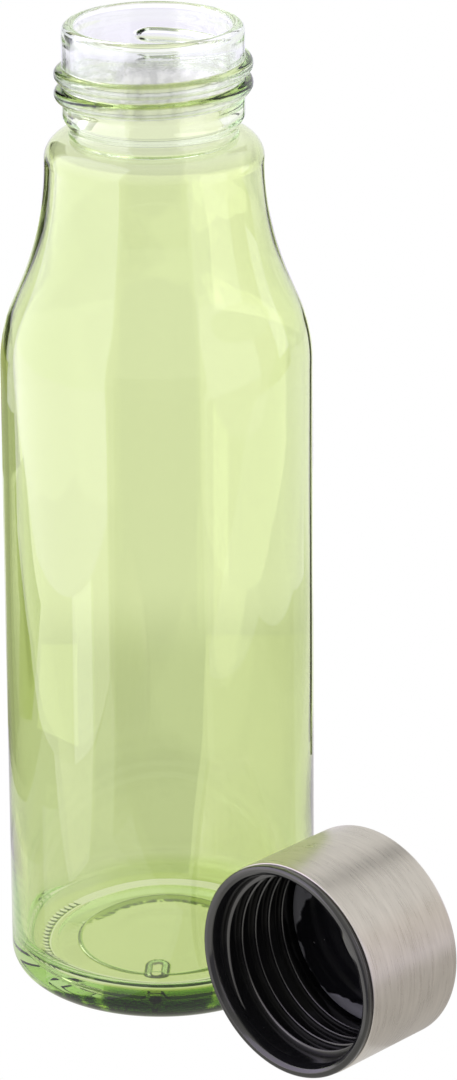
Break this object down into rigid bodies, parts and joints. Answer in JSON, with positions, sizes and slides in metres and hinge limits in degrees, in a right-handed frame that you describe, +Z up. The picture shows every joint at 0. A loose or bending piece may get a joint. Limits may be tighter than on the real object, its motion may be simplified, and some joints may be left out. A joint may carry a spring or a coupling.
{
  "type": "glass drinking bottle",
  "caption": "Empty lacquered glass drinking bottle with a threaded neck, and its screw cap of brushed steel and black plastic lying on its side next to it.",
  "frame": {"origin": "under the middle of the whole, on the surface that the bottle and the cap rest on", "axes": "+Z up along the bottle, towards its mouth; the cap lies towards +X and -Y, with its open end facing -X and -Y"},
  "size_m": [0.0968, 0.1078, 0.2177],
  "materials": {
    "green_glass": "clear gloss, light green lacquer on the body, neck left clear",
    "brushed_steel": "satin, brushed round the cap",
    "black_plastic": "gloss, moulded",
    "seal_black": "smooth, half gloss"
  },
  "bodies": {
    "root": {"bottle": "green_glass", "cap_shell": "brushed_steel", "cap_insert": "black_plastic", "cap_seal": "seal_black"}
  },
  "joints": []
}
